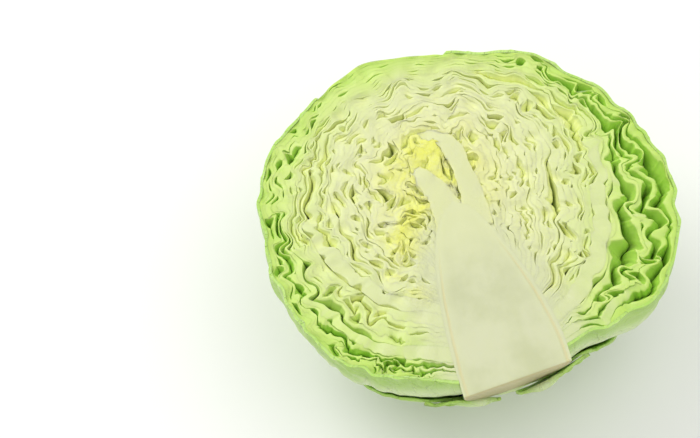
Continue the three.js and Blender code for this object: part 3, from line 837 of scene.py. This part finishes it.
def columns_of(zone, number, side):
    """First and last column of a leaf, from the core to where it meets the one opposite, and that meeting."""
    leaf, order = ZONES[zone][number], 4 * zone + number
    middle = (leaf["inner"] + leaf["outer"]) / 2
    x, y = middle * np.cos(np.radians(TURNS)), middle * np.sin(np.radians(TURNS))
    free = clear_of_core(x, y) > -1.2
    split = int(np.searchsorted(TURNS, 90 + (38 if order % 2 else -34) + 20 * math.sin(order * 2.3)))
    if side == "right":
        return int(np.argmax(free)), split, split
    return split, len(TURNS) - 1 - int(np.argmax(free[::-1])), split


print("columns of the first leaf at the right:", columns_of(2, 0, "right"))

# %% [markdown]
# ## The leaves of the head
# The solids hold 11 levels of leaves on each side of the core. A level is a few neighbouring leaves that
# come off the stem together, so one piece takes their place. The leaves of the two sides meet at the top,
# each level at another spot, just as real leaves overlap at the top of a head.

# %% Lay every leaf of the head
# Zone, first leaf, one past the last leaf.
LEAVES_OF_LEVEL = [(2, 0, 2), (2, 2, 4), (3, 0, 2), (3, 2, 4), (4, 0, 2), (4, 2, 4), (5, 0, 3), (5, 3, 5),
                   (6, 0, 2), (6, 2, 4), (6, 4, 5)]
for level, (zone, start, stop) in enumerate(LEAVES_OF_LEVEL, 1):
    for side in ("right", "left"):
        skin = Skin()
        for number in range(start, stop):
            lay_leaf(skin, zone, number, *columns_of(zone, number, side), shows=level == len(LEAVES_OF_LEVEL))
        name = f"head_leaf_{side}_{level:02d}"
        skin.piece(name + "_folded", leaf_flesh, name, slot="outer_leaf" if level > 8 else "inner_leaf")
    print("level", level, "points on the left:", skin.count)

# %% [markdown]
# ## The heart
# The youngest leaves are the most crumpled, and they are yellow because light never reached them. They grow
# round the tip of the core, inside the first two rings, and are laid like the others. Below them a crumpled
# floor closes the gaps that would otherwise show the inside of the head.

# %% Young leaves and the floor below them
heart = Skin()
for zone in (0, 1):
    for number in range(len(BLADES[zone])):
        for side in ("right", "left"):
            lay_leaf(heart, zone, number, *columns_of(zone, number, side))

FLOOR_WIDTH, FLOOR_THICK = 0.9, 3
floor_turns, floor_shares = np.meshgrid(np.linspace(0, 360, 91), np.linspace(0.03, 1, 14))
ring_turns = np.where(floor_turns > 270, floor_turns - 360, floor_turns)
floor_radius = floor_shares * ring_radius(1, ring_turns) * FLOOR_WIDTH
floor_x = floor_radius * np.cos(np.radians(floor_turns))
floor_y = floor_radius * np.sin(np.radians(floor_turns))
hollow = 2.6 + dimples(floor_x * 2, floor_y * 2) * 1.5 + 6 * floor_shares**3
basin = np.stack([MIDDLE[0] + floor_x, MIDDLE[1] + floor_y, CUT - hollow], -1)
# A fixed depth mark of 3 mm gives the floor the painted bounce light of the crevices, with little painted
# shade.
heart.tube(np.concatenate([basin, basin[::-1] - [0, 0, FLOOR_THICK]]), deep=0.3, young=0.6)
print("heart points so far:", heart.count)

# %% [markdown]
# The two ribs are tubes with a flat, slightly uneven top and a round belly. A bevelled curve would give a
# round rod instead, so their loops are laid out: across the top at the cut, then round below.

# %% The ribs of the heart
top_turns = np.linspace(-np.pi / 2, np.pi / 2, 21)
belly_turns = np.radians([12, 30, 50, 70, 90, 110, 130, 150, 168])
sideways = np.concatenate([np.sin(top_turns), np.cos(belly_turns)])[:, None]
belly = np.concatenate([np.zeros(len(top_turns)), np.sin(belly_turns)])[:, None]
for number, (rib_x, rib_y, rib_half) in enumerate(HEART_RIB_LINES):
    crown = 0.2 + 0.3 * sideways**4 + 0.15 * np.sin(2.2 * RIB_STEPS + number)
    crown = crown + 0.12 * sideways * np.sin(1.4 * RIB_STEPS)
    rib_down = 0.03 + crown * smooth(RIB_STEPS, 0.5, 1.5) + belly * 2 * rib_half + 2.5 * RIB_DIVES**2
    across_rib = np.arctan2(np.gradient(rib_y), np.gradient(rib_x)) - np.pi / 2
    wavy = np.sin(RIB_STEPS * 5 + number) + 0.7 * np.sin(RIB_STEPS * 13 + 2 * number) * np.sign(sideways)
    out = sideways * rib_half * (1 + 0.045 * wavy)
    rib_grid = np.stack([MIDDLE[0] + rib_x + out * np.cos(across_rib),
                         MIDDLE[1] + rib_y + out * np.sin(across_rib), CUT - rib_down], -1)
    heart.tube(rib_grid, deep=rib_down / 20, pale=0.8 - 0.45 * sideways**6, level=0.1,
               young=0.5 * sideways**6 + 0.5 * RIB_DIVES)
heart.piece("heart_leaves_folded", leaf_flesh, "heart_leaves", slot="heart")
print("heart points:", heart.count)

# %% [markdown]
# ## The core
# The core is the stem inside the head, a cone of firm white flesh. Cut in half it is flat on top and round
# below. A scaled cone would be too straight, so its loops follow the widths given above. The columns stand
# closer at the edges, and the top is shaded flat, so that no false shadow runs along its edge. Its lower
# end is the harvest cut, a little slanted.

# %% The body of the core
EDGE_GAP = 0.05
BELLY_DEPTH = 0.95
core_rows = np.unique(np.concatenate([np.linspace(0, CORE_UP[-1], 92), [0.15, 0.5]]))
core_left = np.maximum(curve_through(CORE_UP, CORE_LEFT, core_rows)[None], EDGE_GAP)
core_right = np.maximum(curve_through(CORE_UP, CORE_RIGHT, core_rows)[None], EDGE_GAP)
core_middle, core_half = (core_right - core_left) / 2, (core_right + core_left) / 2
over = np.concatenate([[-1, -0.996], np.linspace(-0.98, 0.98, 59), [0.996, 1]])[:, None]
under = np.linspace(0, np.pi, 41)[1:-1, None]
top_x = core_middle + over * (core_half - EDGE_GAP)
end_round = np.clip(0.9 - core_rows, 0, None)[None] ** 2 * 0.6
low_x = core_middle + core_half * np.cos(under)
low_z = EDGE_GAP + core_half * BELLY_DEPTH * np.sin(under)
core_x = np.concatenate([top_x, low_x])
core_z = np.concatenate([np.broadcast_to(end_round, top_x.shape), low_z])
harvest_slant = (0.06 * core_x + 0.2 * core_z) * (1 - smooth(core_rows, 0, 12))[None]
core_y = STEM_END + core_rows + harvest_slant
over_all, under_all = np.broadcast_to(over, top_x.shape), np.broadcast_to(np.cos(under), low_x.shape)
across_core = np.concatenate([over_all, under_all])
core = Skin()
core.tube(np.stack([MIDDLE[0] + core_x, MIDDLE[1] + core_y, CUT - core_z], -1),
          deep=core_z / 10, along=core_rows / CORE_UP[-1], across=across_core)
print("core points:", core.count)

# %% [markdown]
# ## The flesh of the core
# The core is paler and denser than the leaves, with a faint grain along the stem. A thin tan line just
# inside each edge marks the ring of vessels, and it fades towards the tip, where the core takes the colour
# of the heart's ribs. Modelled grooves would be too deep for such a line, so it is colour and a hint of
# bump.

# %% Finish of the core
core_flesh = Finish("core_flesh", Roughness=0.45, Subsurface_Weight=0.35, Specular_IOR_Level=0.35,
                    **FLESH_GLOW)
across, along = core_flesh.mark("across"), core_flesh.mark("along")
grain = core_flesh.noise(240, 4, 0.6, stretch=(1.0, 0.12, 1.0))
cloud = core_flesh.noise(45, 4, 0.55)
speck = core_flesh.noise(1200, 2, 0.5)
edge = across.size() + (cloud - 0.5) * 0.04 - (0.93 - along * 0.08)
line = (1 - edge.size().between(0.006, 0.045)) * (1 - along.between(0.45, 0.85)) * (0.35 + grain * 0.8)
base = core_flesh.blend(cloud.between(0.35, 0.65), srgb(190, 194, 154), srgb(201, 204, 168))
base = core_flesh.blend((grain - 0.5).between(0, 0.25) * 0.12, base, srgb(184, 188, 136))
base = core_flesh.blend(edge.between(-0.25, 0.05) * 0.8, base, srgb(202, 206, 165))
base = core_flesh.blend(along.between(0.5, 0.95) * 0.75, base, srgb(208, 212, 163))
base = core_flesh.blend(line * 0.55, base, srgb(206, 190, 132))
base = core_flesh.blend((1 - along.between(0.0, 0.006)) * 0.75, base, srgb(190, 178, 128))
core_flesh.feed("Base Color", base)
core_flesh.feed("Roughness", 0.42 + cloud * 0.2)
core_flesh.bumps((cloud, 0.5), (grain, 0.08), (speck, 0.05), (line, -0.25))

core_thing = core.piece("stem_core_cut", core_flesh.material, "stem_core", slot="core")
for face in core_thing.data.polygons:
    face.use_smooth = face.normal.z < 0.95
print("flat faces on the core:", sum(not face.use_smooth for face in core_thing.data.polygons))

# %% [markdown]
# ## The plan of the wrapper leaves
# Round the back lie a few whole leaves, each spread on the next, and two torn ones at the stem. A wrapper
# is laid out from its midrib, which runs from the stem over the back to the top. It could be draped as
# cloth, but a leaf grows on the head and fits it from the start. So its plan is in degrees over the head:
# so far along the midrib, so far out from it.

# %% Wrappers and the way over the head
Wrapper = namedtuple("Wrapper", "layer azimuth end half wave")
# Layer from the inside; direction of the midrib, its end and the half width, in degrees; ruffle in mm.
WRAPPERS = {
    "wrapper_leaf_right": Wrapper(0, 22, 166, 64, 0.5),
    "wrapper_leaf_left": Wrapper(0, 160, 150, 60, 0.8),
    "wrapper_leaf_back": Wrapper(1, 93, 128, 52, 0.9),
    "wrapper_leaf_stub_left": Wrapper(2, 128, 31, 12.5, 0.4),
    "wrapper_leaf_stub_right": Wrapper(2, 54, 30, 13, 0.5),
}
# Where every wrapper starts along its midrib, in degrees.
FOOT = 15.2


def direction(azimuth, along, out):
    """Turn and the sine of the dip, for a place along a wrapper's midrib and out from it."""
    a, s, t = np.radians(azimuth), np.radians(along), np.radians(out)
    x = np.cos(t) * np.sin(s) * np.cos(a) - np.sin(t) * np.sin(a)
    y = -np.cos(t) * np.cos(s)
    down = np.cos(t) * np.sin(s) * np.sin(a) + np.sin(t) * np.cos(a)
    turn = np.degrees(np.arctan2(y, x))
    return np.where(turn < -90, turn + 360, turn), down


def across_wrapper(azimuth, turn, down):
    """The reverse: along and out, in degrees."""
    level, a = np.sqrt(1 - down**2), np.radians(azimuth)
    x, y = level * np.cos(np.radians(turn)), level * np.sin(np.radians(turn))
    along = np.degrees(np.arctan2(down * np.sin(a) + x * np.cos(a), -y))
    out = np.degrees(np.arcsin(np.clip(down * np.cos(a) - x * np.sin(a), -1, 1)))
    return np.where(along < -90, along + 360, along), out


def rib_fade(along, end):
    """How much of a midrib is left at a place along it."""
    return 1 - 0.9 * smooth(along, FOOT, min(end, 150))


def half_width(half, share):
    """Half the width of a wrapper at a share of its length, round at both ends."""
    return half * np.sin(np.pi * (0.14 + 0.72 * share**0.8)) ** 0.8


print("wrappers:", {name: wrapper.end for name, wrapper in WRAPPERS.items()})

# %% [markdown]
# ## How wrappers rest on each other
# A leaf that lies on another must clear its midrib, and only a leaf that nothing covers can ruffle and show
# its veins. Both are read from the other wrappers' plans, so no leaf is fitted by hand.

# %% What lies above and below a wrapper
RIB_WIDTH, RIB_LIFT = 9, 2.6


def neighbours(layer, turn, down):
    """How bare each point is of leaves above it (0 to 1), and how far the midribs below lift it, in mm."""
    bare, lifted = np.ones_like(turn), np.zeros_like(turn)
    for other in WRAPPERS.values():
        along, out = across_wrapper(other.azimuth, turn, down)
        if other.layer > layer:
            reach = (along - FOOT) / (other.end - FOOT)
            width = half_width(other.half, np.clip(reach, 0, 1))
            beyond = smooth(np.abs(out), width + 5, width + 9)
            bare = bare * (1 - (1 - smooth(reach, 1.02, 1.12)) * (1 - beyond))
        if other.layer < layer:
            lifted = lifted + RIB_LIFT * rib_fade(along, other.end) * bump(out, 0, RIB_WIDTH) * (along > 0)
    return bare, lifted


bare, _ = neighbours(0, np.array([200.0, 100.0]), np.array([0.1, 0.8]))
print("bare at the left and at the back:", [round(float(b), 2) for b in bare])

# %% [markdown]
# ## The two faces of a wrapper
# The inner face lies on the head. The outer face is thicker along the midrib, which is broad at its foot,
# and along the side veins that branch from it at even steps. The veins could be bump alone, but the large
# ones cast shadows on a real leaf, so they are raised in the mesh.

# %% Midrib, veins and ruffles
VEIN_PITCH = 14.5
LAYER_START, LAYER_STEP = 1.05, 1.6
LEAF_THICK, MIDRIB_RISE, VEIN_RISE = 1.25, 2.4, 0.6
LOWEST_OUTSIDE, LOWEST_INSIDE = 0.0, 0.9


def over_head(distance, turn, down):
    """The point of the part at a distance from the middle, in a direction over the back."""
    flat = distance * np.sqrt(1 - down**2)
    x = flat * np.cos(np.radians(turn)) + distance * LEAN[0] * down**2
    y = flat * np.sin(np.radians(turn)) + distance * LEAN[1] * down**2
    return crumple(x, y, distance * down, turn, float(OUTSIDE))


def side_veins(share, away, vein_rows):
    """Height of the side veins, from 0 to 1: evenly stepped, finer and lower away from the midrib."""
    vein_row = share * vein_rows
    to_vein = (vein_row + 1) % 2 - 1
    vein = np.exp(-((to_vein / (0.09 - 0.04 * away)) ** 2))
    return vein * (vein_row > 0.5) * (vein_row < vein_rows - 0.5) * (1 - 0.7 * away)


def wrapper_faces(wrapper):
    """Outer and inner points of a whole wrapper, and its marks."""
    layer, azimuth, end, half, wave = wrapper
    rows, columns = (150, 110) if end > 60 else (70, 60)
    share, out = np.meshgrid(np.linspace(0, 1, rows), np.linspace(-1, 1, columns), indexing="ij")
    out = np.sign(out) * np.abs(out) ** 1.15
    away = np.abs(out)
    along = FOOT + (end - FOOT) * share
    sideways = half_width(half, share) * out * (1 + 0.05 * np.sin(5 * share * np.pi + 2 * np.sign(out)))
    slant = 0.55 * np.abs(sideways) * smooth(share, 0, 0.2) * (1 - share)
    rounded = 13 * out**2 * share**3 * (1 + 0.3 * np.sin(7 * out + azimuth))
    turn, down = direction(azimuth, along + slant - rounded, sideways)
    bare, lifted = neighbours(layer, turn, down)
    ruffle = bare * wave * smooth(away, 0.6, 1) * (1 + np.sin(17 * share + 4 * out + 9 * share * share))
    rib_out = np.abs(sideways) / (3.4 * rib_fade(along, end) + 0.8)
    rib = rib_fade(along, end) * np.exp(-rib_out**2.5)
    vein = bare * side_veins(share, away, round(2 * (end - FOOT) / VEIN_PITCH))
    head = ring_radius(OUTSIDE, turn) * (1 - down**2) + RING_DEPTHS[OUTSIDE] * down**2 + bulge(turn, down)
    inner_distance = head + LAYER_START + LAYER_STEP * layer + lifted + ruffle
    outer = over_head(inner_distance + LEAF_THICK + MIDRIB_RISE * rib + VEIN_RISE * vein, turn, down)
    inner = over_head(inner_distance, turn, down)
    outer[..., 2] = np.maximum(outer[..., 2], LOWEST_OUTSIDE)
    inner[..., 2] = np.maximum(inner[..., 2], LOWEST_INSIDE)
    marks = {"pale": np.clip(rib + 0.8 * vein, 0, 1), "along": share * end / 90, "across": sideways / 90}
    return outer, inner, marks


print("side veins on the right wrapper:", round((WRAPPERS["wrapper_leaf_right"].end - FOOT) / VEIN_PITCH))

# %% [markdown]
# ## Slicing the wrappers
# The knife cut the wrappers with the head. A wrapper that ended at the cut by its plan would have a false,
# round edge there, so each is made whole, cut along the plane of the face and closed with a flat edge.

# %% The slice
BELOW_FACE = 0.02


def slice_off(thing):
    """Cuts a mesh a hair below the cut face, closes it there and keeps that edge sharp."""
    work = bmesh.new()
    work.from_mesh(thing.data)
    parts = work.verts[:] + work.edges[:] + work.faces[:]
    level = (0, 0, (CUT - BELOW_FACE) * MM)
    bmesh.ops.bisect_plane(work, geom=parts, plane_co=level, plane_no=(0, 0, 1), clear_outer=True)
    open_edges = [edge for edge in work.edges if edge.is_boundary]
    bmesh.ops.edgenet_fill(work, edges=open_edges)
    for edge in open_edges:
        edge.smooth = False
    bmesh.ops.recalc_face_normals(work, faces=work.faces[:])
    work.to_mesh(thing.data)
    work.free()


print("the slice lies below the face by", BELOW_FACE)

# %% [markdown]
# ## Skin of the wrappers, and the wrappers themselves
# The wrappers show the outer face of the leaf all over, a little glossier than the flesh, with the midrib
# and the side veins pale. Each wrapper takes the place of the solid of its name.

# %% Lay the wrappers
wrapper_skin = Finish("wrapper_skin", Roughness=0.4, Subsurface_Weight=0.25, Subsurface_Scale=0.003,
                      Subsurface_Radius=(0.9, 1.0, 0.3), Specular_IOR_Level=0.4)
pale, along, across = (wrapper_skin.mark(mark) for mark in ("pale", "along", "across"))
base, cloud, veins, small_veins = leaf_back(wrapper_skin, pale, along, across)
wrapper_skin.feed("Base Color", base)
wrapper_skin.feed("Roughness", 0.34 + cloud * 0.22)
wrapper_skin.bumps((cloud, 1.0), (veins, 0.3), (small_veins, 0.12))

for name, wrapper in WRAPPERS.items():
    outer, inner, marks = wrapper_faces(wrapper)
    skin = Skin()
    skin.shell(outer, inner, **marks)
    thing = skin.piece(name + "_veined", wrapper_skin.material, name, slot="wrapper_leaf")
    slice_off(thing)
    print(name, len(thing.data.polygons), "faces")

# %% [markdown]
# ## Floor
# The half lies on its back on a pale, matt floor. A white backdrop without a floor would leave it hanging,
# and the soft shadow shows that it rests. The floor is part of the set, not of the cabbage.

# %% Floor
FLOOR_HALF = 3
corners = [(-FLOOR_HALF, -FLOOR_HALF, 0), (FLOOR_HALF, -FLOOR_HALF, 0),
           (FLOOR_HALF, FLOOR_HALF, 0), (-FLOOR_HALF, FLOOR_HALF, 0)]
floor_mesh = bpy.data.meshes.new("floor")
floor_mesh.from_pydata(corners, [], [(0, 1, 2, 3)])
floor = bpy.data.objects.new("floor", floor_mesh)
bpy.context.scene.collection.objects.link(floor)
floor_finish = Finish("floor", Roughness=0.7, Specular_IOR_Level=0.2)
paper = floor_finish.blend(floor_finish.noise(3), srgb(240, 240, 238), srgb(236, 236, 234))
floor_finish.feed("Base Color", paper)
floor_mesh.materials.append(floor_finish.material)
print("floor, m across:", 2 * FLOOR_HALF)

# %% [markdown]
# ## Light
# Pale, wet leaves need soft light from all round, or their folds turn black. A bright white world gives
# that. One large lamp from the upper left models the folds, and a second, weaker one lifts the shadows at
# the right.

# %% Light
LIT_MIDDLE = (0, 0, 0.05)


def lamp(name, size, power, place):
    light = bpy.data.lights.new(name, "AREA")
    light.shape, light.size, light.energy = "DISK", size, power
    thing = bpy.data.objects.new(name, light)
    thing.location = place
    thing.rotation_euler = (Vector(LIT_MIDDLE) - Vector(place)).to_track_quat("-Z", "Y").to_euler()
    bpy.context.scene.collection.objects.link(thing)
    print(name, power, "W")


lamp("window", 0.9, 8, (-0.55, 0.75, 0.95))
lamp("ceiling", 1.4, 5, (0.5, -0.2, 1.5))
world = bpy.data.worlds.new("room")
bpy.context.scene.world = world
world.use_nodes = True
background = world.node_tree.nodes["Background"]
background.inputs["Color"].default_value = (1.0, 1.0, 1.0, 1)
background.inputs["Strength"].default_value = 0.8
bpy.context.scene.view_settings.view_transform = "Standard"

# %% [markdown]
# ## Camera
# The camera looks down on the cut face from a little to the left of the stem. It stands well back with a
# long lens, so the face keeps its true proportions, and it aims left of the head, which leaves room beside
# it.

# %% Camera
AZIMUTH, ELEVATION, AWAY = math.radians(-17), math.radians(65), 1.3
VIEW_WIDTH, SENSOR = 0.315, 36
AIM_LEFT, AIM_ABOVE = 0.0527, 0.0014
face_middle = Vector((-0.00048, 0.00031, CUT * MM))
outward = Vector((math.sin(AZIMUTH) * math.cos(ELEVATION), -math.cos(AZIMUTH) * math.cos(ELEVATION),
                  math.sin(ELEVATION)))
rightward = Vector((math.cos(AZIMUTH), math.sin(AZIMUTH), 0))
upward = outward.cross(rightward)
aim = face_middle - rightward * AIM_LEFT + upward * AIM_ABOVE
lens = bpy.data.cameras.new("camera")
lens.lens, lens.sensor_width = SENSOR * AWAY / VIEW_WIDTH, SENSOR
lens.clip_start = 0.01
camera = bpy.data.objects.new("camera", lens)
camera.matrix_world = Matrix.Translation(aim + outward * AWAY) @ Matrix(
    (rightward, upward, outward)).transposed().to_4x4()
bpy.context.scene.collection.objects.link(camera)
bpy.context.scene.camera = camera
print("lens, mm:", round(lens.lens, 1))

# %% [markdown]
# ## Size
# The finer pieces should fill the same box as the solids they replace. Only the box of the solids is printed,
# at the start; the finer pieces are not measured.
